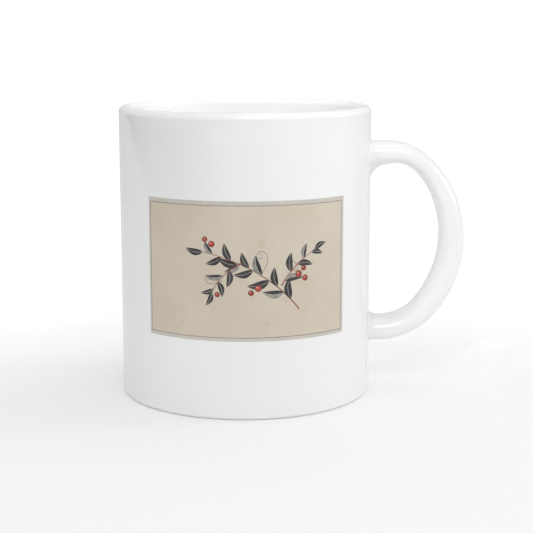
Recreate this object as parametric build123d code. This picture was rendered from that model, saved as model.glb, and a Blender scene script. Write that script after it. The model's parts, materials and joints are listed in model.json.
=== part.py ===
from build123d import *
import os
from math import cos, degrees, hypot, radians, sin, sqrt, tan

# A glazed stoneware mug of the common straight sort, holding about a third of a litre.
# The cup is turned to one profile, the handle is cast by itself and luted to the wall, and a
# printed film is fired on to the wall, a quarter turn from the handle.
# Millimetres. The origin is on the cup's axis in the plane that the foot stands on. +Z is up,
# the handle is on +X and the middle of the print faces -Y.

# Cup
CUP_DIAMETER = 82.5
CUP_HEIGHT = 95.0
WALL = 4.0                  # the lip is a full round of this thickness
FLOOR = 5.6                 # from the hollow under the cup to the floor inside
INSIDE_CORNER = 7.0         # round between the floor and the wall, inside
HEEL_BEVEL = 1.3            # bevel between the wall and the foot, outside
FOOT_WIDTH = 3.8            # the level ring that the cup stands on
FOOT_HOLLOW = 2.2           # how far the underside lies above that ring
FOOT_SLOPE = 2.0            # run of the hollow's sloping side

# Handle, given by its outer line: an arm, three arcs that run into each other, and an arm
HANDLE_BELOW_RIM = 11.7     # from the lip's top to the top of the upper arm
HANDLE_ABOVE_FOOT = 16.2    # from the foot to the bottom of the lower arm
HANDLE_REACH = 31.6         # from the wall to the back of the handle
UPPER_ARM = 5.4             # level length at the upper root
LOWER_ARM = 2.8             # level length at the lower root
UPPER_TURN = 45.0           # degrees turned by the upper bend
LOWER_TURN = 49.5           # degrees turned by the lower bend
HANDLE_THICKNESS = 8.6      # from the outer line to the finger side, at its thickest
HANDLE_WIDTH = 13.0         # across the handle, at its back
EDGE_SHARE = 0.42           # radius of the section's edges, as a share of its thickness
UPPER_FLARE = 3.9           # growth of the upper root's finger side at the wall
UPPER_FLARE_RUN = 5.0       # how far from the wall the upper root starts to grow
LOWER_FLARE = 2.0           # the same two at the lower root
LOWER_FLARE_RUN = 4.0
FLANK_FLARE = 1.1           # growth of each flank at the wall, at both roots
ROOT_SPARE = 0.4            # how far an end goes past the wall before it is trimmed
ROOT_STEPS = (0.0, 0.25, 0.5, 0.75)     # where a root has its sections, as shares of its run
MIDDLE_SECTIONS = 23                    # sections between the two roots

# How the handle swells and thins. Columns: share of the outer line's length from the upper
# root to the lower one, share of HANDLE_THICKNESS, share of HANDLE_WIDTH
HANDLE_SWELL = (
    (0.00, 0.98, 1.14),
    (0.05, 0.95, 1.10),
    (0.11, 0.80, 1.05),
    (0.17, 0.76, 1.02),
    (0.26, 0.79, 1.00),
    (0.40, 0.91, 1.00),
    (0.55, 1.00, 1.00),
    (0.69, 1.00, 1.00),
    (0.80, 0.94, 1.00),
    (0.90, 0.92, 1.04),
    (1.00, 0.97, 1.10),
)

# Print
PRINT_ARC = 67.6            # width, measured round the wall
PRINT_HEIGHT = 43.3
PRINT_ABOVE_FOOT = 25.3
PRINT_FILM = 0.1

cup_radius = CUP_DIAMETER / 2
bore_radius = cup_radius - WALL
lip_round = WALL / 2
inside_floor = FOOT_HOLLOW + FLOOR


def cup():
    """The cup: one profile, from the middle of its underside out, over the lip and back inside."""
    foot_outer = cup_radius - HEEL_BEVEL
    foot_inner = foot_outer - FOOT_WIDTH
    lip_height = CUP_HEIGHT - lip_round
    underside = Polyline(
        (0, FOOT_HOLLOW),
        (foot_inner - FOOT_SLOPE, FOOT_HOLLOW),
        (foot_inner, 0),
        (foot_outer, 0),
        (cup_radius, HEEL_BEVEL),
    )
    outer_wall = Line(underside @ 1, (cup_radius, lip_height))
    lip = CenterArc((cup_radius - lip_round, lip_height), lip_round, 0, 180)
    inner_wall = Line(lip @ 1, (bore_radius, inside_floor + INSIDE_CORNER))
    corner = CenterArc((bore_radius - INSIDE_CORNER, inside_floor + INSIDE_CORNER), INSIDE_CORNER, 0, -90)
    floor = Line(corner @ 1, (0, inside_floor))
    axis_line = Line(floor @ 1, underside @ 0)
    profile = make_face(Curve() + [underside, outer_wall, lip, inner_wall, corner, floor, axis_line])
    return revolve(Plane.XZ * profile, Axis.Z)


def handle_line():
    """The handle's outer line in its own plane: x out from the cup's axis, y up."""
    turn_up, turn_down = radians(UPPER_TURN), radians(LOWER_TURN)
    top = CUP_HEIGHT - HANDLE_BELOW_RIM
    upper_run = HANDLE_REACH - UPPER_ARM
    lower_run = HANDLE_REACH - LOWER_ARM
    spread = top - HANDLE_ABOVE_FOOT - upper_run * tan(turn_up / 2) - lower_run * tan(turn_down / 2)
    ease_up = (1 - sin(turn_up)) * tan(turn_up / 2)
    ease_down = (1 - sin(turn_down)) * tan(turn_down / 2)
    back_radius = spread / (cos(turn_up) + cos(turn_down) - ease_up - ease_down)
    upper_radius = (upper_run - back_radius * (1 - sin(turn_up))) / sin(turn_up)
    lower_radius = (lower_run - back_radius * (1 - sin(turn_down))) / sin(turn_down)
    upper_arm = Line((cup_radius, top), (cup_radius + UPPER_ARM, top))
    upper_bend = JernArc(upper_arm @ 1, upper_arm % 1, upper_radius, -UPPER_TURN)
    back = JernArc(upper_bend @ 1, upper_bend % 1, back_radius, UPPER_TURN + LOWER_TURN - 180)
    lower_bend = JernArc(back @ 1, back % 1, lower_radius, -LOWER_TURN)
    lower_arm = Line(lower_bend @ 1, (cup_radius, HANDLE_ABOVE_FOOT))
    pieces = (upper_arm, upper_bend, back, lower_bend, lower_arm)
    return Wire([edge for piece in pieces for edge in piece.edges()])


def oval(thickness, width):
    """A section with crowned faces and rounded edges, four arcs that run into each other."""
    edge = EDGE_SHARE * thickness
    centre = width / 2 - edge
    crown = (centre ** 2 + (thickness / 2) ** 2 - edge ** 2) / (thickness - 2 * edge)
    drop = crown - thickness / 2
    reach = crown / hypot(centre, drop)
    join_x, join_y = centre * reach, drop * reach - drop
    right, left = (width / 2, 0), (-width / 2, 0)
    outer = ThreePointArc((join_x, join_y), (0, thickness / 2), (-join_x, join_y))
    left_edge = ThreePointArc(outer @ 1, left, (-join_x, -join_y))
    inner = ThreePointArc(left_edge @ 1, (0, -thickness / 2), (join_x, -join_y))
    right_edge = ThreePointArc(inner @ 1, right, outer @ 0)
    return make_face(Curve() + [outer, left_edge, inner, right_edge])


def handle_section(point, heading, thickness, width):
    """An oval square to the line, hung by its outer side from a point on it."""
    outward = Vector(-heading.Y, heading.X)
    middle = point - outward * (thickness / 2)
    across = Vector(0, -1, 0)
    square = Plane(origin=(middle.X, 0, middle.Y), x_dir=across, z_dir=(heading.X, 0, heading.Y))
    return square * oval(thickness, width)


def swell(share):
    """Thickness and width at a share of the line's length, in step with the table's rows."""
    for low, high in zip(HANDLE_SWELL, HANDLE_SWELL[1:]):
        if share <= high[0]:
            blend = (share - low[0]) / (high[0] - low[0])
            thickness, width = [a + (b - a) * blend for a, b in zip(low[1:], high[1:])]
            return thickness * HANDLE_THICKNESS, width * HANDLE_WIDTH


def root_sections(line, end, flare, run):
    """The sections of the root at one end of the line, from the one inside the wall outward."""
    thickness, width = swell(end)
    half_width = width / 2 + FLANK_FLARE
    past_wall = cup_radius - sqrt(cup_radius ** 2 - half_width ** 2) + ROOT_SPARE
    sections = []
    for distance in (-past_wall, *(step * run for step in ROOT_STEPS)):
        share = abs(end - max(distance, 0) / line.length)
        thickness, width = swell(share)
        ease = (1 - distance / run) ** 2
        point = (line @ end) + Vector(distance, 0)
        sections.append(
            handle_section(point, line % end, thickness + flare * ease, width + 2 * FLANK_FLARE * ease)
        )
    return sections


def handle():
    """The handle: many sections along its line, joined by short runs and trimmed to the wall."""
    line = handle_line()
    first = UPPER_FLARE_RUN / line.length
    last = 1 - LOWER_FLARE_RUN / line.length
    sections = root_sections(line, 0, UPPER_FLARE, UPPER_FLARE_RUN)
    for step in range(MIDDLE_SECTIONS):
        share = first + (last - first) * step / (MIDDLE_SECTIONS - 1)
        sections.append(handle_section(line @ share, line % share, *swell(share)))
    sections += root_sections(line, 1, LOWER_FLARE, LOWER_FLARE_RUN)[::-1]
    body = loft(sections, ruled=True)
    return body - Cylinder(cup_radius, CUP_HEIGHT, align=(Align.CENTER, Align.CENTER, Align.MIN))


def print_panel():
    """The printed film on the wall, its middle on -Y."""
    strip = Plane.XZ * Pos(cup_radius + PRINT_FILM / 2, PRINT_ABOVE_FOOT + PRINT_HEIGHT / 2) * Rectangle(
        PRINT_FILM, PRINT_HEIGHT
    )
    spread = degrees(PRINT_ARC / cup_radius)
    return Rot(0, 0, -90 - spread / 2) * revolve(strip, Axis.Z, spread)


os.makedirs("parts", exist_ok=True)
export_step(cup(), "parts/cup.step")
export_step(handle(), "parts/handle.step")
export_step(print_panel(), "parts/print_panel.step")
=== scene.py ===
import json
import math
import random

import bpy
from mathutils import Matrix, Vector
from mathutils.geometry import delaunay_2d_cdt


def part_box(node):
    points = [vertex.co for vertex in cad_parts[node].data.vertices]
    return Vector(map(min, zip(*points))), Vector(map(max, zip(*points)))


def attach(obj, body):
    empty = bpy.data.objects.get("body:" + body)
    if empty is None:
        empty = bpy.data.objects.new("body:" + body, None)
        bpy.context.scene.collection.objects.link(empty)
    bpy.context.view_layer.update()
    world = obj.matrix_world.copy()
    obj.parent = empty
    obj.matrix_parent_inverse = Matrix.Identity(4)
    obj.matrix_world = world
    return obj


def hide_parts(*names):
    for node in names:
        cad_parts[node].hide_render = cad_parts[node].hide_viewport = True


# A white glazed mug with a printed panel: glazed cup with a bare foot ring, glazed handle with
# luted roots, and a printed film with a generic plant design of inks on aged paper.

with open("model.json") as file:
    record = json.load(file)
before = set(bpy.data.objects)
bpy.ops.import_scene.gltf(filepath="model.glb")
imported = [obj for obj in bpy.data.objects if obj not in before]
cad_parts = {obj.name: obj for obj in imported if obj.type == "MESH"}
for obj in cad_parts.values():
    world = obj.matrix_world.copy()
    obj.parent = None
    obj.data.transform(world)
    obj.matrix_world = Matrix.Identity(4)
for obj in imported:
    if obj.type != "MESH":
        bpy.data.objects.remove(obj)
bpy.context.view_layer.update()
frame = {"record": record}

MM = 0.001

# Sizes from the frame, in metres
cup_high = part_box("cup")[1]
handle_low, handle_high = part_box("handle")
print_low, print_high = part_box("print_panel")
mounts = {mount["name"]: mount for mount in frame["record"]["mounts"]}

RADIUS = cup_high.x
HEIGHT = cup_high.z
BORE = mounts["cup_bore"]["dims"]["r_mm"] * MM
WALL = RADIUS - BORE
FILM = -print_low.y - RADIUS
PRINT_HALF_ANGLE = math.asin(print_high.x / (RADIUS + FILM))
PRINT_WIDTH = 2 * PRINT_HALF_ANGLE * RADIUS
PRINT_HEIGHT = print_high.z - print_low.z

# Cup, inside and underneath
INSIDE_FLOOR = 7.8 * MM
INSIDE_CORNER = 7.0 * MM
HEEL_ROUND = 1.6 * MM
FOOT_WIDTH = 3.5 * MM
FOOT_HOLLOW = 2.2 * MM
HOLLOW_SLOPE = 2.0 * MM         # run of the hollow's sloping side
HOLLOW_ROUND = 1.2 * MM
GLAZE_STEP = 0.12 * MM          # the glaze ends this thick above the wiped foot ring
CLAY_EDGE = 0.35 * GLAZE_STEP   # height of the bare ring's own edge
GLAZE_END = -82                 # where the glaze ends on the heel's round; -90 is its lowest point

FOOT_OUTER = RADIUS - HEEL_ROUND
FOOT_INNER = FOOT_OUTER - FOOT_WIDTH
HOLLOW_EDGE = FOOT_INNER - HOLLOW_SLOPE


def srgb(red, green, blue):
    """A colour given in 0 to 255 as a linear one."""
    def linear(value):
        share = value / 255
        return share / 12.92 if share <= 0.04045 else ((share + 0.055) / 1.055) ** 2.4
    return linear(red), linear(green), linear(blue), 1.0


def grey(level):
    return srgb(level, level, level)


def way(azimuth, elevation):
    """A direction in degrees: azimuth 0 is on the print's side, 90 on the handle's."""
    turn, tilt = math.radians(azimuth), math.radians(elevation)
    return Vector((math.sin(turn) * math.cos(tilt), -math.cos(turn) * math.cos(tilt), math.sin(tilt)))


# Materials

ROOT_BLEND = 4.0 * MM           # the handle's white runs into the wall's over this length
SPOT_CORE = 0.6                 # share of a spot's size that is full before its edge fades


class Nodes:
    """Short calls for building one material's node tree."""

    def __init__(self, name):
        self.material = bpy.data.materials.new(name)
        self.material.use_nodes = True
        self.tree = self.material.node_tree
        self.shader = self.tree.nodes["Principled BSDF"]
        self.place = self.add("ShaderNodeTexCoord").outputs["Object"]

    def add(self, kind, **settings):
        node = self.tree.nodes.new(kind)
        for key, value in settings.items():
            setattr(node, key, value)
        return node

    def link(self, source, target):
        self.tree.links.new(source, target)

    def feed(self, socket, value):
        """Links a socket to another one, or sets it to a plain value."""
        if isinstance(value, bpy.types.NodeSocket):
            self.link(value, socket)
        else:
            socket.default_value = value

    def noise(self, scale, detail=3.0, roughness=0.55):
        """A noise value; scale is in waves per metre."""
        node = self.add("ShaderNodeTexNoise")
        node.inputs["Scale"].default_value = scale
        node.inputs["Detail"].default_value = detail
        node.inputs["Roughness"].default_value = roughness
        self.link(self.place, node.inputs["Vector"])
        return node.outputs["Fac"]

    def spots(self, scale, size):
        """1 inside small round spots, one to a cell; scale is in cells per metre, size in cells."""
        node = self.add("ShaderNodeTexVoronoi")
        node.inputs["Scale"].default_value = scale
        self.link(self.place, node.inputs["Vector"])
        return self.ramp(node.outputs["Distance"], size, SPOT_CORE * size, 0.0, 1.0)

    def ramp(self, source, low, high, low_value, high_value):
        """source from low to high becomes low_value to high_value, smoothly."""
        node = self.add("ShaderNodeMapRange", interpolation_type="SMOOTHSTEP")
        node.inputs["From Min"].default_value = low
        node.inputs["From Max"].default_value = high
        node.inputs["To Min"].default_value = low_value
        node.inputs["To Max"].default_value = high_value
        self.link(source, node.inputs["Value"])
        return node.outputs["Result"]

    def spread(self, noise, low_value=0.0, high_value=1.0, reach=0.2):
        """A noise, whose values keep near 0.5, spread over a range of values."""
        return self.ramp(noise, 0.5 - reach, 0.5 + reach, low_value, high_value)

    def times(self, first, second):
        node = self.add("ShaderNodeMath", operation="MULTIPLY")
        self.feed(node.inputs[0], first)
        self.feed(node.inputs[1], second)
        return node.outputs[0]

    def distance(self, place, centre):
        node = self.add("ShaderNodeVectorMath", operation="DISTANCE")
        self.feed(node.inputs[0], place)
        self.feed(node.inputs[1], centre)
        return node.outputs["Value"]

    def mix(self, share, first, second):
        """A colour between two, each a colour or a socket."""
        node = self.add("ShaderNodeMix", data_type="RGBA")
        factor, colours = node.inputs[0], node.inputs[6:8]
        self.feed(factor, share)
        self.feed(colours[0], first)
        self.feed(colours[1], second)
        return node.outputs[2]

    def bump(self, height, depth, strength, onto=None):
        """A bump of this depth in metres."""
        node = self.add("ShaderNodeBump")
        node.inputs["Strength"].default_value = strength
        node.inputs["Distance"].default_value = depth
        self.link(height, node.inputs["Height"])
        if onto is not None:
            self.link(onto, node.inputs["Normal"])
        return node.outputs["Normal"]

    def finish(self, colour, roughness, normal, ior=1.5):
        self.link(colour, self.shader.inputs["Base Color"])
        self.link(roughness, self.shader.inputs["Roughness"])
        self.link(normal, self.shader.inputs["Normal"])
        self.shader.inputs["IOR"].default_value = ior
        return self.material


def near_wall(nodes):
    """1 at the cup's wall, falling to 0 away from it."""
    level = nodes.add("ShaderNodeVectorMath", operation="MULTIPLY")
    level.inputs[1].default_value = (1.0, 1.0, 0.0)
    nodes.link(nodes.place, level.inputs[0])
    from_axis = nodes.add("ShaderNodeVectorMath", operation="LENGTH")
    nodes.link(level.outputs[0], from_axis.inputs[0])
    return nodes.ramp(from_axis.outputs["Value"], RADIUS, RADIUS + ROOT_BLEND, 1.0, 0.0)


def glaze_material(name, low, high, by_wall=None):
    """White glaze: thick, glossy and faintly wavy, between two whites in soft patches.
    Where by_wall is given, the glaze takes that white close to the wall."""
    nodes = Nodes(name)
    white = nodes.mix(nodes.spread(nodes.noise(45, detail=2.0), reach=0.15), low, high)
    if by_wall is not None:
        white = nodes.mix(near_wall(nodes), white, by_wall)
    specks = nodes.times(nodes.spots(190, size=0.03), 0.25)
    colour = nodes.mix(specks, white, srgb(208, 204, 198))
    roughness = nodes.spread(nodes.noise(260, detail=4.0), 0.07, 0.12)
    waves = nodes.bump(nodes.noise(55, detail=1.0), depth=0.12 * MM, strength=0.25)
    peel = nodes.bump(nodes.noise(900, detail=2.0), depth=0.01 * MM, strength=0.35, onto=waves)
    return nodes.finish(colour, roughness, peel, ior=1.62)


def bare_clay_material():
    """The wiped foot ring: fired stoneware with a fine grain and a few darker grains."""
    nodes = Nodes("bare_clay")
    grain = nodes.noise(2600, detail=5.0, roughness=0.7)
    clay = nodes.mix(nodes.spread(grain), srgb(214, 205, 190), srgb(230, 223, 211))
    dark_grains = nodes.times(nodes.spots(900, size=0.2), 0.5)
    colour = nodes.mix(dark_grains, clay, srgb(160, 143, 122))
    roughness = nodes.spread(grain, 0.75, 0.95)
    return nodes.finish(colour, roughness, nodes.bump(grain, depth=0.06 * MM, strength=0.6))


def paper_material():
    """The print's ground: warm aged paper with clouding, fibres and a few faint stains."""
    nodes = Nodes("print_paper")
    clouds = nodes.spread(nodes.noise(70, detail=4.0, roughness=0.6), reach=0.15)
    warm = nodes.mix(clouds, srgb(205, 193, 175), srgb(209, 199, 183))
    fibres = nodes.spread(nodes.noise(1500, detail=4.0, roughness=0.7), reach=0.15)
    ground = nodes.mix(nodes.times(fibres, 0.2), warm, srgb(200, 188, 168))
    stains = nodes.times(nodes.spots(95, size=0.16), 0.22)
    colour = nodes.mix(stains, ground, srgb(184, 166, 140))
    roughness = nodes.spread(nodes.noise(300), 0.14, 0.22)
    return nodes.finish(colour, roughness, nodes.bump(fibres, depth=0.01 * MM, strength=0.2))


def ink_material(name, thin, full, cloud_scale):
    """Printed ink whose wash runs between two colours."""
    nodes = Nodes(name)
    wash = nodes.spread(nodes.noise(cloud_scale, detail=4.0, roughness=0.6), reach=0.15)
    grain = nodes.spread(nodes.noise(2400, roughness=0.7), reach=0.1)
    tint = nodes.mix(wash, thin, full)
    colour = nodes.mix(nodes.times(grain, 0.15), tint, thin)
    roughness = nodes.spread(nodes.noise(300), 0.13, 0.2)
    return nodes.finish(colour, roughness, nodes.bump(grain, depth=0.01 * MM, strength=0.2))


# Meshes

def add_piece(name, verts, faces, materials, replaced, face_slots=None):
    """A smooth mesh that rides on the mug and stands for a CAD node."""
    mesh = bpy.data.meshes.new(name)
    mesh.from_pydata(verts, [], faces)
    for material in materials:
        mesh.materials.append(material)
    if face_slots:
        mesh.polygons.foreach_set("material_index", face_slots)
    mesh.polygons.foreach_set("use_smooth", [True] * len(faces))
    mesh.update()
    piece = bpy.data.objects.new(name, mesh)
    bpy.context.scene.collection.objects.link(piece)
    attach(piece, "root")
    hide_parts(replaced)
    return piece


def arc(centre, radius, start, end, steps):
    """Points on an arc, both ends included; angles in degrees."""
    points = []
    for step in range(steps + 1):
        angle = math.radians(start + (end - start) * step / steps)
        points.append((centre[0] + radius * math.cos(angle), centre[1] + radius * math.sin(angle)))
    return points


def line(start, end, steps):
    """Points from start to end, both left out."""
    return [
        tuple(a + (b - a) * step / steps for a, b in zip(start, end))
        for step in range(1, steps)
    ]


# The cup's surfaces, by the number of their material
GLAZE, COAT, INSIDE, CLAY = range(4)
CUP_FACETS = 192                # round the cup


def underside_outline():
    """From the middle of the underside over the hollow's round to the edge of the bare ring."""
    slope = math.atan2(FOOT_HOLLOW, FOOT_INNER - HOLLOW_EDGE)
    centre = (HOLLOW_EDGE - HOLLOW_ROUND * math.tan(slope / 2), FOOT_HOLLOW - HOLLOW_ROUND)
    middle = (0.0, FOOT_HOLLOW)
    points = [middle] + line(middle, (centre[0], FOOT_HOLLOW), steps=12)
    points += arc(centre, HOLLOW_ROUND, 90, 90 - math.degrees(slope), steps=6)
    points += line(points[-1], (FOOT_INNER, GLAZE_STEP), steps=4)
    return points + [(FOOT_INNER - GLAZE_STEP, GLAZE_STEP)]


def cup_profile():
    """The cup's outline from the middle of its underside to the middle of its floor. Each point
    is a radius, a height and the surface of the strip that starts there."""
    ring_start, ring_end = (FOOT_INNER + GLAZE_STEP, 0.0), (FOOT_OUTER - GLAZE_STEP, 0.0)
    ring = [(FOOT_INNER, CLAY_EDGE), ring_start] + line(ring_start, ring_end, steps=6) + [ring_end]
    heel = arc((FOOT_OUTER, HEEL_ROUND), HEEL_ROUND, GLAZE_END, 0, steps=10)
    lip_height = HEIGHT - WALL / 2
    lip = arc((RADIUS - WALL / 2, lip_height), WALL / 2, 0, 180, steps=24)
    lip_top = len(lip) // 2
    corner_centre = (BORE - INSIDE_CORNER, INSIDE_FLOOR + INSIDE_CORNER)
    inside = lip[lip_top:] + line(lip[-1], (BORE, corner_centre[1]), steps=40)
    inside += arc(corner_centre, INSIDE_CORNER, 0, -90, steps=14)
    inside += line((corner_centre[0], INSIDE_FLOOR), (0.0, INSIDE_FLOOR), steps=16)
    runs = (
        (GLAZE, underside_outline()),
        (CLAY, ring),
        (GLAZE, [(FOOT_OUTER, CLAY_EDGE)] + heel[:-1]),
        (COAT, heel[-1:] + line(heel[-1], lip[0], steps=48)),
        (GLAZE, lip[:lip_top]),
        # The inside and the lip's inner half take a whiter copy of the glaze: painted light that
        # brightens the inside
        (INSIDE, inside + [(0.0, INSIDE_FLOOR)]),
    )
    return [(radius, height, surface) for surface, points in runs for radius, height in points]


def build_cup(materials):
    """The cup, turned from its outline: coated outside for the print, bare on its foot ring."""
    profile = cup_profile()
    rings = profile[1:-1]
    verts = [(0.0, 0.0, profile[0][1]), (0.0, 0.0, profile[-1][1])]
    for radius, height, _ in rings:
        for turn in range(CUP_FACETS):
            angle = 2 * math.pi * turn / CUP_FACETS
            verts.append((radius * math.cos(angle), radius * math.sin(angle), height))
    faces, face_slots = [], []

    def corner(row, turn):
        return 2 + row * CUP_FACETS + turn % CUP_FACETS

    last = len(rings) - 1
    for turn in range(CUP_FACETS):
        faces.append((0, corner(0, turn + 1), corner(0, turn)))
        faces.append((1, corner(last, turn), corner(last, turn + 1)))
        face_slots += [GLAZE, INSIDE]
    for row, (_, _, surface) in enumerate(rings[:-1]):
        for turn in range(CUP_FACETS):
            near, far = corner(row, turn), corner(row, turn + 1)
            faces.append((near, far, corner(row + 1, turn + 1), corner(row + 1, turn)))
            face_slots.append(surface)
    return add_piece("cup_glazed", verts, faces, materials, "cup", face_slots)


# Handle: the solid's outer line, with its roots drawn out on to the wall by rounds

HANDLE_TOP = handle_high.z
HANDLE_BOTTOM = handle_low.z
HANDLE_REACH = handle_high.x - RADIUS
UPPER_ARM = 5.4 * MM
LOWER_ARM = 2.8 * MM
UPPER_TURN = math.radians(45.0)
LOWER_TURN = math.radians(49.5)
HANDLE_THICKNESS = 8.6 * MM
HANDLE_WIDTH = 13.0 * MM
SQUARENESS = 2.35               # power of the section's outline: 2 is an ellipse

# The solid's swell, a little slimmer at the upper root, where the rounds add to it.
# Columns: share of the outer line's length, share of the thickness, share of the width
HANDLE_SWELL = (
    (0.00, 0.98, 1.12),
    (0.05, 0.94, 1.09),
    (0.11, 0.80, 1.05),
    (0.17, 0.76, 1.02),
    (0.26, 0.79, 1.00),
    (0.40, 0.91, 1.00),
    (0.55, 1.00, 1.00),
    (0.69, 1.00, 1.00),
    (0.80, 0.94, 1.00),
    (0.90, 0.92, 1.04),
    (1.00, 0.97, 1.10),
)

# Radius of the luted round at a root on its outer side, its flanks and its finger side
UPPER_ROOT = (0.9 * MM, 1.6 * MM, 5.0 * MM)
LOWER_ROOT = (1.0 * MM, 1.6 * MM, 3.0 * MM)
ROOT_BEND = 8.0 * MM            # how far out the sections still follow the wall's curve
ROOT_SINK = 0.3 * MM            # how far the handle's closed ends reach into the wall

HANDLE_FACETS = 72              # round a section
FIRST_GAP = 0.04 * MM           # between the first sections by the wall
GAP_GROWTH = 1.28               # each gap to the next, until they are LARGEST_GAP
LARGEST_GAP = 0.8 * MM
MIDDLE_GAPS = 90                # between sections away from the roots


def handle_runs():
    """The outer line's straight and curved runs, as length and radius; radius None is straight."""
    upper = HANDLE_REACH - UPPER_ARM
    lower = HANDLE_REACH - LOWER_ARM
    half_up, half_down = math.tan(UPPER_TURN / 2), math.tan(LOWER_TURN / 2)
    spread = HANDLE_TOP - HANDLE_BOTTOM - upper * half_up - lower * half_down
    ease_up = (1 - math.sin(UPPER_TURN)) * half_up
    ease_down = (1 - math.sin(LOWER_TURN)) * half_down
    back = spread / (math.cos(UPPER_TURN) + math.cos(LOWER_TURN) - ease_up - ease_down)
    upper_radius = (upper - back * (1 - math.sin(UPPER_TURN))) / math.sin(UPPER_TURN)
    lower_radius = (lower - back * (1 - math.sin(LOWER_TURN))) / math.sin(LOWER_TURN)
    return (
        (UPPER_ARM, None),
        (upper_radius * UPPER_TURN, upper_radius),
        (back * (math.pi - UPPER_TURN - LOWER_TURN), back),
        (lower_radius * LOWER_TURN, lower_radius),
        (LOWER_ARM, None),
    )


def walk(runs, distance):
    """The point of the outer line at a distance from its upper end, and its heading."""
    x, z, heading = RADIUS, HANDLE_TOP, 0.0
    for number, (length, radius) in enumerate(runs):
        step = distance if number == len(runs) - 1 else min(distance, length)
        if radius is None:
            x += step * math.cos(heading)
            z += step * math.sin(heading)
        else:
            turned = heading - step / radius
            x += radius * (math.sin(heading) - math.sin(turned))
            z += radius * (math.cos(turned) - math.cos(heading))
            heading = turned
        distance -= step
        if distance <= 0:
            break
    return x, z, heading


def swell(share):
    """Shares of the thickness and the width at a share of the line's length."""
    for low, high in zip(HANDLE_SWELL, HANDLE_SWELL[1:]):
        if share <= high[0]:
            blend = (share - low[0]) / (high[0] - low[0])
            return tuple(a + (b - a) * blend for a, b in zip(low[1:], high[1:]))
    return HANDLE_SWELL[-1][1:]


def smooth_swell(share):
    """Thickness and width, averaged over a short stretch so that no row of the table shows."""
    reach, count = 0.035, 9
    values = [
        swell(min(max(share + reach * (2 * i / (count - 1) - 1), 0.0), 1.0))
        for i in range(count)
    ]
    thickness = sum(value[0] for value in values) / count
    width = sum(value[1] for value in values) / count
    return thickness * HANDLE_THICKNESS, width * HANDLE_WIDTH


def round_growth(radius, distance):
    """How far a round of this radius stands out from the arm, this far from the wall."""
    if distance >= radius:
        return 0.0
    return radius - math.sqrt(max(radius ** 2 - (radius - max(distance, 0.0)) ** 2, 0.0))


def smoothstep(value):
    share = min(max(value, 0.0), 1.0)
    return share * share * (3 - 2 * share)


def signed_power(value, power):
    return math.copysign(abs(value) ** power, value)


def handle_stations(total):
    """Distances along the outer line, close together by the wall."""
    near = [-ROOT_SINK, 0.0]
    distance, gap = 0.0, FIRST_GAP
    while distance < ROOT_BEND:
        distance += gap
        gap = min(gap * GAP_GROWTH, LARGEST_GAP)
        near.append(distance)
    span = total - 2 * near[-1]
    middle = [near[-1] + span * i / MIDDLE_GAPS for i in range(1, MIDDLE_GAPS)]
    return near + middle + [total - distance for distance in reversed(near)]


def section_point(angle, thickness, width, radii, from_wall):
    """A point of the rounded-square section, across it and out from its middle, flared by the
    root's rounds."""
    cosine, sine = math.cos(angle), math.sin(angle)
    power = 2 / SQUARENESS
    across = width / 2 * signed_power(cosine, power)
    outward = thickness / 2 * signed_power(sine, power)
    normal_across = signed_power(cosine, 2 - power) / width
    normal_outward = signed_power(sine, 2 - power) / thickness
    size = math.hypot(normal_across, normal_outward)
    outer, flank, inner = radii
    radius = flank + (outer - flank) * max(sine, 0.0) ** 2 + (inner - flank) * max(-sine, 0.0) ** 2
    growth = round_growth(radius, from_wall)
    return across + growth * normal_across / size, outward + growth * normal_outward / size


def handle_ring(runs, total, distance):
    """One closed section of the handle, flared and bent round the cup where it meets the wall."""
    inside = min(max(distance, 0.0), total)
    thickness, width = smooth_swell(inside / total)
    if distance < total / 2:
        from_wall, radii = distance, UPPER_ROOT
    else:
        from_wall, radii = total - distance, LOWER_ROOT
    x, z, heading = walk(runs, inside)
    out_x, out_z = -math.sin(heading), math.cos(heading)
    middle_x, middle_z = x - out_x * thickness / 2, z - out_z * thickness / 2
    follow = 1 - smoothstep(from_wall / ROOT_BEND)
    ring = []
    for number in range(HANDLE_FACETS):
        angle = 2 * math.pi * number / HANDLE_FACETS
        across, outward = section_point(angle, thickness, width, radii, from_wall)
        hollow = RADIUS - math.sqrt(RADIUS ** 2 - across ** 2)
        back_off = hollow * follow + max(-from_wall, 0.0)
        ring.append((middle_x + out_x * outward - back_off, across, middle_z + out_z * outward))
    return ring


def build_handle(glaze):
    """The handle: sections along its line, with rounds that run out on to the wall."""
    runs = handle_runs()
    total = sum(length for length, _ in runs)
    rings = [handle_ring(runs, total, distance) for distance in handle_stations(total)]
    verts = [point for ring in rings for point in ring]
    faces = []
    for row in range(len(rings) - 1):
        first, second = row * HANDLE_FACETS, (row + 1) * HANDLE_FACETS
        for number in range(HANDLE_FACETS):
            after = (number + 1) % HANDLE_FACETS
            faces.append((first + number, first + after, second + after, second + number))
    last = len(verts) - HANDLE_FACETS
    faces.append(tuple(range(HANDLE_FACETS - 1, -1, -1)))
    faces.append(tuple(range(last, len(verts))))
    piece = add_piece("handle_glazed", verts, faces, [glaze], "handle")
    sharpen_rings(piece.data, (1, len(rings) - 2))


def sharpen_rings(mesh, sharp_rows):
    """Makes the shading break at the rings on the wall, where the handle's hidden ends begin."""
    for edge in mesh.edges:
        rows = {index // HANDLE_FACETS for index in edge.vertices}
        edge.use_edge_sharp = len(rows) == 1 and rows.pop() in sharp_rows


# Print: flat shapes in millimetres, from the panel's lower left corner, wrapped on to the wall

BAND_TOP = 1.2
BAND_BOTTOM = 1.0
BAND_LEFT = 0.6
BAND_RIGHT = 0.9
KEYLINE = 0.28
CELL = 1.6                      # spacing of the points that carry the film round the wall
MERGE = 1e-5                    # points closer than this become one
PAPER, BAND, KEY, CHARCOAL, WASH, TWIG, BERRY, TENDRIL, GLINT = range(9)

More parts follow.
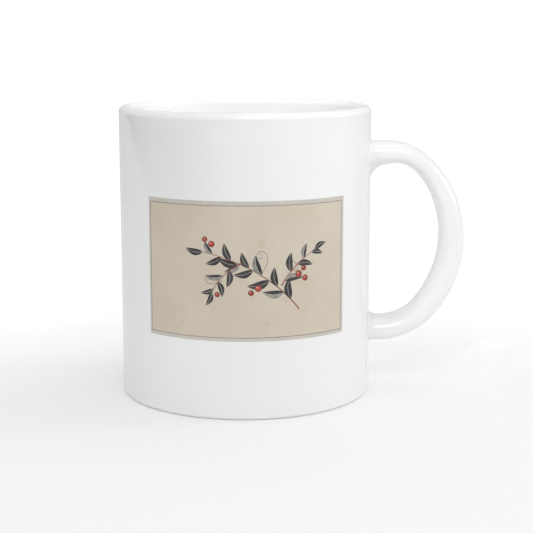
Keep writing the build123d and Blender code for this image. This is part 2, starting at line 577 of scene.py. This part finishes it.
TWIG_WIDTHS = (0.42, 0.20)      # at its start and its end, as for the tendrils
TENDRIL_WIDTHS = (0.22, 0.14)
TENDRIL_TIGHTENING = 1.6        # power by which a tendril's curl grows along it
BARE_POINTS = 3                 # points of a twig without leaves, at each end
LEAF_LEAN = (38, 52)            # degrees from the twig, least and most
LEAF_CHANGE = (0.9, 1.1)        # how much longer or shorter a leaf turns out
LEAF_TAPER = 0.35               # share by which leaves get shorter along the twig
LEAF_WIDTH = 0.36               # share of the leaf's length
LEAF_BOW = 0.10                 # how far a leaf bends sideways, as a share of its length
LEAF_SHOULDER = 0.8             # under 1, a leaf is widest nearer its stalk
LEAF_FULLNESS = 0.9             # under 1, a leaf is blunter at its ends
LEAF_VEIN = 0.09                # width of the bare vein
TIP_LENGTH = 0.8                # the leaf at a twig's tip, as shares of the first leaf's length
TIP_WIDTH = 0.28
BERRY_RIM = 0.12
GLINT_SIDE = -0.3               # place and radius of a berry's glint, as shares of the berry's radius
GLINT_UP = 0.32
GLINT_RADIUS = 0.24

# The plant. Each place is the distance from the panel's middle and the height above its edge
# Columns: place, heading, length, curl
TENDRILS = (
    ((4.5, 21.0), 60, 15.0, 34),
    ((-7.5, 19.0), 205, 12.0, -36),
    ((13.0, 25.5), -28, 10.0, -38),
)

# Columns: place, heading, length, bend, length of the first leaf, leaves along the twig
SPRIGS = (
    ((16.5, 9.5), 128, 36.0, 42, 7.2, 11),
    ((10.6, 17.2), 60, 15.5, -34, 6.0, 5),
    ((-1.5, 24.6), 205, 13.5, 40, 5.8, 5),
)

# Columns: place, radius
BERRIES = (
    ((16.2, 20.6), 1.0), ((18.4, 19.2), 0.85), ((17.9, 22.3), 0.75), ((3.4, 16.6), 0.95),
    ((1.2, 15.2), 0.8), ((-10.9, 30.2), 0.9), ((-13.0, 31.6), 0.75), ((-9.2, 14.6), 0.7),
)


class Polygon:
    """A filled outline of one ink, with points close enough together to bend round the wall."""

    def __init__(self, ink, points):
        self.ink = ink
        self.points = []
        for start, end in zip(points, points[1:] + points[:1]):
            steps = max(1, math.ceil(math.dist(start, end) / CELL))
            self.points += [start] + line(start, end, steps)
        self.low = tuple(min(p[i] for p in points) for i in (0, 1))
        self.high = tuple(max(p[i] for p in points) for i in (0, 1))

    def holds(self, x, y):
        if not (self.low[0] <= x <= self.high[0] and self.low[1] <= y <= self.high[1]):
            return False
        inside = False
        for (ax, ay), (bx, by) in zip(self.points, self.points[1:] + self.points[:1]):
            if (ay > y) != (by > y) and x < (bx - ax) * (y - ay) / (by - ay) + ax:
                inside = not inside
        return inside


def rectangle(ink, left, low, right, high):
    return Polygon(ink, [(left, low), (right, low), (right, high), (left, high)])


def disc(ink, x, y, radius, steps=18):
    turns = [2 * math.pi * step / steps for step in range(steps)]
    return Polygon(ink, [(x + radius * math.cos(t), y + radius * math.sin(t)) for t in turns])


def curve_points(start, heading, length, bend, steps=14):
    """Points of a line that bends evenly; heading and bend are in degrees."""
    x, y = start
    points = [(x, y, heading)]
    for step in range(steps):
        angle = heading + bend * (step + 0.5) / steps
        x += length / steps * math.cos(math.radians(angle))
        y += length / steps * math.sin(math.radians(angle))
        points.append((x, y, heading + bend * (step + 1) / steps))
    return points


def stroke(ink, path, widths):
    """A drawn line that tapers, as a row of short filled pieces."""
    start_width, end_width = widths
    pieces = []
    count = len(path) - 1
    sides = []
    for number, (x, y, heading) in enumerate(path):
        half = (start_width + (end_width - start_width) * number / count) / 2
        side_x, side_y = -math.sin(math.radians(heading)) * half, math.cos(math.radians(heading)) * half
        sides.append(((x + side_x, y + side_y), (x - side_x, y - side_y)))
    for (left, right), (next_left, next_right) in zip(sides, sides[1:]):
        pieces.append(Polygon(ink, [left, right, next_right, next_left]))
    return pieces


def leaf(x, y, heading, length, width, dark):
    """A pointed leaf in two halves, one dark and one washed, with a bare vein between them."""
    steps = 9
    turn = math.radians(heading)

    def place(along, across):
        side = across + LEAF_BOW * length * math.sin(math.pi * along / length)
        return (
            x + along * math.cos(turn) - side * math.sin(turn),
            y + along * math.sin(turn) + side * math.cos(turn),
        )

    halves = []
    for sign, ink in ((1, CHARCOAL if dark else WASH), (-1, CHARCOAL)):
        outer = []
        for step in range(steps + 1):
            share = step / steps
            half = width / 2 * math.sin(math.pi * share ** LEAF_SHOULDER) ** LEAF_FULLNESS
            outer.append(place(length * share, sign * (LEAF_VEIN / 2 + half)))
        vein = [place(length * step / steps, sign * LEAF_VEIN / 2) for step in range(steps - 1, 0, -1)]
        halves.append(Polygon(ink, outer + vein))
    return halves


def berry(x, y, radius):
    """A round berry with a dark rim and a small glint at its upper left."""
    return [
        disc(CHARCOAL, x, y, radius + BERRY_RIM),
        disc(BERRY, x, y, radius),
        disc(GLINT, x + GLINT_SIDE * radius, y + GLINT_UP * radius, GLINT_RADIUS * radius, steps=10),
    ]


def sprig(start, heading, length, bend, leaf_length, leaves, chance, turn):
    """A twig with leaves on its two sides by turns and one at its tip. Every third leaf is washed,
    and turn says from which one on."""
    path = curve_points(start, heading, length, bend, steps=24)
    shapes = stroke(TWIG, path, TWIG_WIDTHS)
    leafy = len(path) - 2 * BARE_POINTS
    for number in range(leaves):
        x, y, along = path[BARE_POINTS + round(leafy * number / (leaves - 1))]
        side = 1 if number % 2 else -1
        size = leaf_length * (1.0 - LEAF_TAPER * number / leaves) * chance.uniform(*LEAF_CHANGE)
        lean = along + side * chance.uniform(*LEAF_LEAN)
        shapes += leaf(x, y, lean, size, LEAF_WIDTH * size, dark=(number + turn) % 3 != 1)
    x, y, along = path[-1]
    return shapes + leaf(x, y, along, TIP_LENGTH * leaf_length, TIP_WIDTH * leaf_length, dark=True)


def tendril(start, heading, length, curl):
    """A thin line that curls up tighter along its length."""
    x, y = start
    path = [(x, y, heading)]
    steps = 40
    angle = heading
    for step in range(steps):
        angle += curl * (step / steps) ** TENDRIL_TIGHTENING
        x += length / steps * math.cos(math.radians(angle))
        y += length / steps * math.sin(math.radians(angle))
        path.append((x, y, angle))
    return stroke(TENDRIL, path, TENDRIL_WIDTHS)


def print_shapes(width, height):
    """Every printed shape, the lowest layer first: keyline, paper, then the plant."""
    left, low = BAND_LEFT, BAND_BOTTOM
    right, high = width - BAND_RIGHT, height - BAND_TOP
    shapes = [
        rectangle(KEY, left, low, right, high),
        rectangle(PAPER, left + KEYLINE, low + KEYLINE, right - KEYLINE, high - KEYLINE),
    ]
    middle = width / 2
    for (side, up), *bend in TENDRILS:
        shapes += tendril((middle + side, up), *bend)
    chance = random.Random(4)
    for turn, ((side, up), *growth) in enumerate(SPRIGS):
        shapes += sprig((middle + side, up), *growth, chance, turn)
    for (side, up), radius in BERRIES:
        shapes += berry(middle + side, up, radius)
    return shapes


def wrap(x, y, lift, width):
    """A point of the flat print, in millimetres, on the wall; lift is in metres."""
    angle = -math.pi / 2 + (x - width / 2) * MM / RADIUS
    reach = RADIUS + lift
    return reach * math.cos(angle), reach * math.sin(angle), print_low.z + y * MM


def flat_print(width, height, shapes):
    """The print as flat triangles and the ink of each."""
    columns, rows = round(width / CELL), round(height / CELL)
    points = [
        Vector((width * i / columns, height * j / rows))
        for j in range(rows + 1)
        for i in range(columns + 1)
    ]
    edges = []
    for shape in shapes:
        first = len(points)
        count = len(shape.points)
        points += [Vector(point) for point in shape.points]
        edges += [(first + i, first + (i + 1) % count) for i in range(count)]
    verts, _, triangles, *_ = delaunay_2d_cdt(points, edges, [], 0, MERGE)
    inks = []
    for triangle in triangles:
        x = sum(verts[i].x for i in triangle) / 3
        y = sum(verts[i].y for i in triangle) / 3
        inks.append(next((shape.ink for shape in reversed(shapes) if shape.holds(x, y)), BAND))
    return verts, triangles, inks


def cut_edge(triangles, count):
    """Faces for the film's cut edge, one for each side that only one triangle has."""
    sides = [side for triangle in triangles for side in zip(triangle, triangle[1:] + triangle[:1])]
    known = set(sides)
    return [(b, a, a + count, b + count) for a, b in sides if (b, a) not in known]


def curve_normals(mesh, count):
    """Gives the film's two sides normals that follow the wall, so that no triangle shows."""
    normals = []
    for polygon in mesh.polygons:
        at_edge = len(polygon.vertices) == 4
        for index in polygon.vertices:
            if at_edge:
                normals.append(tuple(polygon.normal))
            else:
                x, y, _ = mesh.vertices[index].co
                sign = 1 if index < count else -1
                normals.append((sign * x / math.hypot(x, y), sign * y / math.hypot(x, y), 0.0))
    mesh.normals_split_custom_set(normals)


def build_print(inks_by_number):
    """The printed film: a closed thin shell that follows the wall."""
    width, height = PRINT_WIDTH / MM, PRINT_HEIGHT / MM
    flat, triangles, inks = flat_print(width, height, print_shapes(width, height))
    count = len(flat)
    verts = [wrap(point.x, point.y, lift, width) for lift in (FILM, 0.0) for point in flat]
    outer = [tuple(triangle) for triangle in triangles]
    inner = [tuple(i + count for i in reversed(triangle)) for triangle in triangles]
    edge = cut_edge(triangles, count)
    face_inks = inks + [PAPER] * len(inner) + [BAND] * len(edge)
    faces = outer + inner + edge
    piece = add_piece("print_film", verts, faces, inks_by_number, "print_panel", face_inks)
    curve_normals(piece.data, count)


# Stage, lights and camera

FADE_CENTRE = Vector((0.02, -0.10, 0.0))
FADE_START = 0.12               # how far from that point the floor starts to turn white
FADE_END = 0.30
# Near the mug the camera sees this share of white glow on the floor: painted light that lightens its
# shade and shadow
NEAR_GLOW_SHARE = 0.20                # share of white within that start
FLOOR_GLOW = 1.09               # brightness of the white that the floor fades to
DIM_CENTRE = Vector((-0.60, -0.40, 0.0))
DIM_START = 0.20                # the floor is dark this far from that point
DIM_END = 0.55                  # and pale from here on
FLOOR_DROP = 0.02 * MM          # the floor lies this far below the foot

# The floor's outline. The glaze mirrors its left end as a dark patch with a slanting edge
FLOOR_CORNERS = ((-0.62, -2.5), (2.5, -2.5), (2.5, 2.5), (-1.82, 2.5), (-0.62, 0.0))

SKY = 0.715                     # brightness of the even sky
ROOM = 0.05 * SKY               # and of what lies below the horizon
HORIZON = (-0.05, 0.02)         # heights between which one turns into the other
WHITE = (1.0, 1.0, 1.0, 1.0)


def floor_material():
    """Pale and matt, dark where the glaze mirrors it as a patch, white far off for the camera, and near
    the mug lightened for the camera by a painted glow.
    """
    nodes = Nodes("pale_floor")
    place = nodes.add("ShaderNodeNewGeometry").outputs["Position"]
    grain = nodes.noise(700)
    pale = nodes.mix(nodes.spread(grain), grey(247), grey(249))
    dim = nodes.ramp(nodes.distance(place, DIM_CENTRE), DIM_START, DIM_END, 1.0, 0.0)
    tint = nodes.mix(dim, pale, grey(110))
    nodes.finish(tint, nodes.spread(grain, 0.85, 0.95), nodes.bump(grain, depth=0.01 * MM, strength=0.1))
    nodes.shader.inputs["Specular IOR Level"].default_value = 0.1
    white = nodes.add("ShaderNodeEmission")
    white.inputs["Color"].default_value = WHITE
    white.inputs["Strength"].default_value = FLOOR_GLOW
    glow_share = nodes.ramp(nodes.distance(place, FADE_CENTRE), FADE_START, FADE_END, NEAR_GLOW_SHARE, 1.0)
    path = nodes.add("ShaderNodeLightPath")
    mixed = nodes.add("ShaderNodeMixShader")
    nodes.link(nodes.times(glow_share, path.outputs["Is Camera Ray"]), mixed.inputs[0])
    nodes.link(nodes.shader.outputs[0], mixed.inputs[1])
    nodes.link(white.outputs[0], mixed.inputs[2])
    nodes.link(mixed.outputs[0], nodes.tree.nodes["Material Output"].inputs["Surface"])
    return nodes.material


def build_floor():
    """A pale floor that keeps the mug's shadow, lightened by a painted glow, and turns pure white
    further off.
    """
    verts = [(x, y, -FLOOR_DROP) for x, y in FLOOR_CORNERS]
    mesh = bpy.data.meshes.new("floor")
    mesh.from_pydata(verts, [], [tuple(range(len(verts)))])
    mesh.materials.append(floor_material())
    floor = bpy.data.objects.new("floor", mesh)
    bpy.context.scene.collection.objects.link(floor)


def build_world():
    """White for the camera; for the rest an even sky over a dark room."""
    world = bpy.data.worlds.new("studio")
    world.use_nodes = True
    tree = world.node_tree
    tree.nodes.clear()
    split = tree.nodes.new("ShaderNodeSeparateXYZ")
    tree.links.new(tree.nodes.new("ShaderNodeTexCoord").outputs["Generated"], split.inputs[0])
    level = tree.nodes.new("ShaderNodeMapRange")
    names = ("From Min", "From Max", "To Min", "To Max")
    for name, value in zip(names, (*HORIZON, ROOM, SKY)):
        level.inputs[name].default_value = value
    tree.links.new(split.outputs["Z"], level.inputs["Value"])
    soft = tree.nodes.new("ShaderNodeBackground")
    white = tree.nodes.new("ShaderNodeBackground")
    for background in (soft, white):
        background.inputs["Color"].default_value = WHITE
    tree.links.new(level.outputs["Result"], soft.inputs["Strength"])
    path = tree.nodes.new("ShaderNodeLightPath")
    mixed = tree.nodes.new("ShaderNodeMixShader")
    output = tree.nodes.new("ShaderNodeOutputWorld")
    tree.links.new(path.outputs["Is Camera Ray"], mixed.inputs[0])
    tree.links.new(soft.outputs[0], mixed.inputs[1])
    tree.links.new(white.outputs[0], mixed.inputs[2])
    tree.links.new(mixed.outputs[0], output.inputs["Surface"])
    bpy.context.scene.world = world


# Columns: name, place, width, height, brightness of its face; each faces the mug
SOFTBOXES = (
    ("overhead", (0.20, 0.10, 0.62), 0.32, 0.34, 0.85),
    ("right", (1.10, 0.10, 0.42), 0.40, 0.40, 3.6),
    ("front_key", (0.07, -0.97, 0.77), 0.50, 0.50, 2.75),
    ("front_right", (0.41, -0.88, 0.77), 0.90, 0.35, 0.8),
)
LIGHT_AIM = Vector((0.0, 0.0, 0.06))

# A round beam into the cup
BEAM_FROM = Vector((0.00, -0.60, 1.00))
BEAM_AT = Vector((0.006, 0.0, 0.095))
BEAM_RADIUS = BORE              # where it passes the lip
BEAM_EDGE = 0.2                 # share of it that is soft
BEAM_SOURCE = 0.03              # radius of its lamp
BEAM_BRIGHTNESS = 0.20          # how much of a white surface's brightness it adds

# Flat beams that hardly spread: a low one that clears the near side of the lip and falls inside
# under the far side, and one past the wall on to the handle's finger side.
# Columns: name, aim, azimuth and elevation of the light in degrees, distance, width, height,
# brightness as above
SHEETS = (
    ("inside_sheet", (0.0, BORE, HEIGHT - 10.5 * MM), 8, 22, 0.19, 76 * MM, 14 * MM, 0.17),
    ("handle_sheet", (0.062, 0.0, 0.043), -36, 40, 0.40, 32 * MM, 48 * MM, 0.115),
)
SHEET_SPREAD = math.radians(4)


def place_lamp(light, place, aim):
    """Puts a light in the scene and turns it to face a point."""
    lamp = bpy.data.objects.new(light.name, light)
    lamp.location = place
    lamp.rotation_euler = (aim - place).to_track_quat("-Z", "Y").to_euler()
    bpy.context.scene.collection.objects.link(lamp)


def area_light(name, width, height, brightness):
    """A rectangular light, given by how bright its face looks."""
    light = bpy.data.lights.new(name, "AREA")
    light.shape = "RECTANGLE"
    light.size = width
    light.size_y = height
    light.energy = brightness * math.pi * width * height
    return light


def build_lights():
    """Softboxes round the mug, flat beams, and a round beam into the cup."""
    for name, place, width, height, brightness in SOFTBOXES:
        place_lamp(area_light(name, width, height, brightness), Vector(place), LIGHT_AIM)
    for name, aim, azimuth, elevation, distance, width, height, brightness in SHEETS:
        sheet = area_light(name, width, height, brightness)
        sheet.spread = SHEET_SPREAD
        place_lamp(sheet, Vector(aim) + distance * way(azimuth, elevation), Vector(aim))
    distance = (BEAM_AT - BEAM_FROM).length
    beam = bpy.data.lights.new("inside_beam", "SPOT")
    beam.spot_size = 2 * math.atan(BEAM_RADIUS / distance)
    beam.spot_blend = BEAM_EDGE
    beam.shadow_soft_size = BEAM_SOURCE
    beam.energy = BEAM_BRIGHTNESS * 4 * math.pi ** 2 * distance ** 2
    place_lamp(beam, BEAM_FROM, BEAM_AT)


# Camera, measured from the photograph's perspective of the rim, foot and wall: angles in degrees,
# lens and sensor in millimetres, and in metres how far the picture's middle is from the cup's
# axis and from its foot
CAMERA_AZIMUTH = -1.5
CAMERA_ELEVATION = 10.52
CAMERA_DISTANCE = 0.44863
CAMERA_LENS = 90.52
CAMERA_SENSOR = 36.0
AIM_SIDE = 0.006996
AIM_HEIGHT = 0.041108
CAMERA_CLIP = (0.01, 50.0)      # metres


def build_camera():
    """The camera at the photograph's place."""
    right = way(CAMERA_AZIMUTH + 90, 0)
    back = way(CAMERA_AZIMUTH, CAMERA_ELEVATION)
    data = bpy.data.cameras.new("camera")
    data.lens = CAMERA_LENS
    data.sensor_width = CAMERA_SENSOR
    data.clip_start, data.clip_end = CAMERA_CLIP
    camera = bpy.data.objects.new("camera", data)
    camera.location = Vector((0.0, 0.0, AIM_HEIGHT)) + right * AIM_SIDE + back * CAMERA_DISTANCE
    camera.rotation_euler = (-back).to_track_quat("-Z", "Y").to_euler()
    bpy.context.scene.collection.objects.link(camera)
    bpy.context.scene.camera = camera


build_cup([
    glaze_material("white_glaze", grey(243), grey(244)),
    glaze_material("wall_coating", grey(239), grey(240)),
    # A whiter copy of the same glaze for the inside: painted light, not a different glaze
    glaze_material("inside_glaze_painted_light", grey(252), grey(253)),
    bare_clay_material(),
])
build_handle(glaze_material("handle_glaze", grey(242), grey(243), by_wall=grey(240)))
build_print([
    paper_material(),
    ink_material("print_band", srgb(202, 196, 188), srgb(196, 191, 184), 300),
    ink_material("print_keyline", srgb(160, 154, 142), srgb(140, 134, 122), 400),
    ink_material("ink_charcoal", srgb(62, 62, 64), srgb(34, 36, 39), 260),
    ink_material("ink_wash", srgb(158, 154, 148), srgb(112, 111, 110), 320),
    ink_material("ink_twig", srgb(160, 96, 82), srgb(128, 66, 56), 400),
    ink_material("ink_berry", srgb(178, 72, 58), srgb(148, 48, 40), 500),
    ink_material("ink_tendril", srgb(150, 134, 118), srgb(116, 100, 88), 400),
    ink_material("ink_glint", srgb(222, 196, 182), srgb(212, 180, 166), 500),
])
build_floor()
build_world()
build_lights()
build_camera()
bpy.context.scene.view_settings.view_transform = "Standard"
